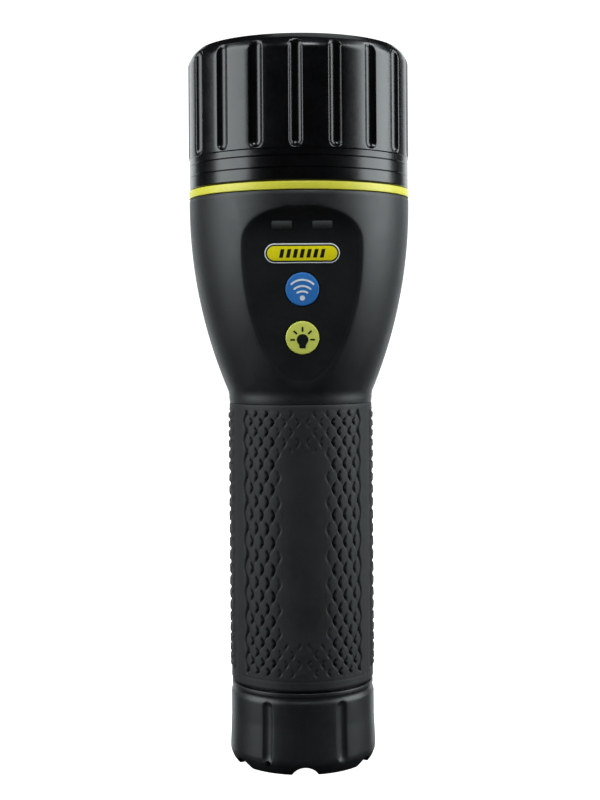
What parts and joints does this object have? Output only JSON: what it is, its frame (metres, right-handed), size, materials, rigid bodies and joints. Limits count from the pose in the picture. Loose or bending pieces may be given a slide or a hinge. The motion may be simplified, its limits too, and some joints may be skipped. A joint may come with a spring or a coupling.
{
  "type": "wireless hand torch",
  "caption": "Hand torch with a fluted screw-off head, flared body with radio and lamp push buttons, textured rubber grip and screw-off tail cap.",
  "frame": {"origin": "centre of the tail cap's standing ring, at the bottom of the torch", "axes": "+Z along the torch's axis from tail to lens, -Y out of the control panel, +X to the right of someone facing the panel"},
  "size_m": [0.065, 0.065, 0.2085],
  "materials": {
    "satin_black": "satin moulded plastic",
    "body_black": "soft-touch satin",
    "panel_black": "satin moulded plastic",
    "rubber": "matte moulded rubber with diamond relief",
    "yellow_ring": "satin",
    "yellow_badge": "printed gloss",
    "radio_blue": "satin",
    "lamp_lime": "satin",
    "smoky_window": "smoked clear",
    "clear_lens": "polished clear",
    "seal_rubber": "matte",
    "bright_mirror": "metallised mirror with a fine orange peel",
    "aluminium": "turned",
    "phosphor": "translucent",
    "indicator_chip": "translucent",
    "board_green": "solder mask",
    "shield_steel": "tinned",
    "inner_plastic": "moulded",
    "brass": "plated",
    "spring_steel": "drawn wire",
    "cell_wrap": "shrink sleeve",
    "wire_red": "insulation",
    "wire_black": "insulation"
  },
  "bodies": {
    "barrel": {"accent_ring": "yellow_ring", "battery_carrier": "inner_plastic", "battery_wire_black": "wire_black", "battery_wire_red": "wire_red", "board_screw_1": "spring_steel", "board_screw_2": "spring_steel", "board_screw_3": "spring_steel", "cell_1": "cell_wrap", "cell_2": "cell_wrap", "cell_3": "cell_wrap", "cell_4": "cell_wrap", "cell_plate_1": "brass", "cell_plate_2": "brass", "cell_plate_3": "brass", "cell_plate_4": "brass", "cell_spring_1": "spring_steel", "cell_spring_2": "spring_steel", "cell_spring_3": "spring_steel", "cell_spring_4": "spring_steel", "contact_board": "board_green", "face_plate": "panel_black", "grip_sleeve": "rubber", "heat_sink": "aluminium", "indicator_led_left": "indicator_chip", "indicator_led_right": "indicator_chip", "indicator_window_left": "smoky_window", "indicator_window_right": "smoky_window", "lamp_switch_body": "shield_steel", "led_board": "aluminium", "led_emitter": "phosphor", "led_wire_black": "wire_black", "led_wire_red": "wire_red", "main_board": "board_green", "main_housing": "body_black", "nameplate": "yellow_badge", "pack_nose_contact": "brass", "pack_spring": "spring_steel", "pack_tail_contact": "brass", "radio_module": "shield_steel", "radio_switch_body": "shield_steel", "reflector": "bright_mirror"},
    "radio_key": {"radio_button": "radio_blue", "radio_switch_plunger": "inner_plastic"},
    "lamp_key": {"lamp_button": "lamp_lime", "lamp_switch_plunger": "inner_plastic"},
    "head_seal_ring": {"head_seal": "seal_rubber"},
    "head": {"head_bezel": "satin_black", "front_lens": "clear_lens", "lens_gasket": "seal_rubber"},
    "tail_seal_ring": {"tail_seal": "seal_rubber"},
    "tail": {"tail_cap": "body_black", "tail_contact": "brass", "tail_spring": "spring_steel"}
  },
  "joints": [
    {"name": "radio_button_press", "type": "slide", "parent": "barrel", "child": "radio_key", "axis": [0, 0.9923, 0.124], "range_m": [0, 0.0005], "stiffness_N_per_m": 2000, "springref_m": -0.0003},
    {"name": "lamp_button_press", "type": "slide", "parent": "barrel", "child": "lamp_key", "axis": [0, 0.9923, 0.124], "range_m": [0, 0.0005], "stiffness_N_per_m": 2000, "springref_m": -0.0003},
    {"name": "head_turn", "type": "hinge", "parent": "barrel", "child": "head_seal_ring", "pos_m": [0, 0, 0.169], "axis": [0, 0, 1], "range_deg": [0, 900]},
    {"name": "head_travel", "type": "slide", "parent": "head_seal_ring", "child": "head", "axis": [0, 0, 1], "range_m": [0, 0.0076]},
    {"name": "tail_turn", "type": "hinge", "parent": "barrel", "child": "tail_seal_ring", "pos_m": [0, 0, 0.0228], "axis": [0, 0, -1], "range_deg": [0, 900]},
    {"name": "tail_travel", "type": "slide", "parent": "tail_seal_ring", "child": "tail", "axis": [0, 0, -1], "range_m": [0, 0.0076]}
  ],
  "couplings": [
    {"joint": "head_travel", "follows": "head_turn", "m_per_rad": 0.00047746},
    {"joint": "tail_travel", "follows": "tail_turn", "m_per_rad": 0.00047746}
  ]
}
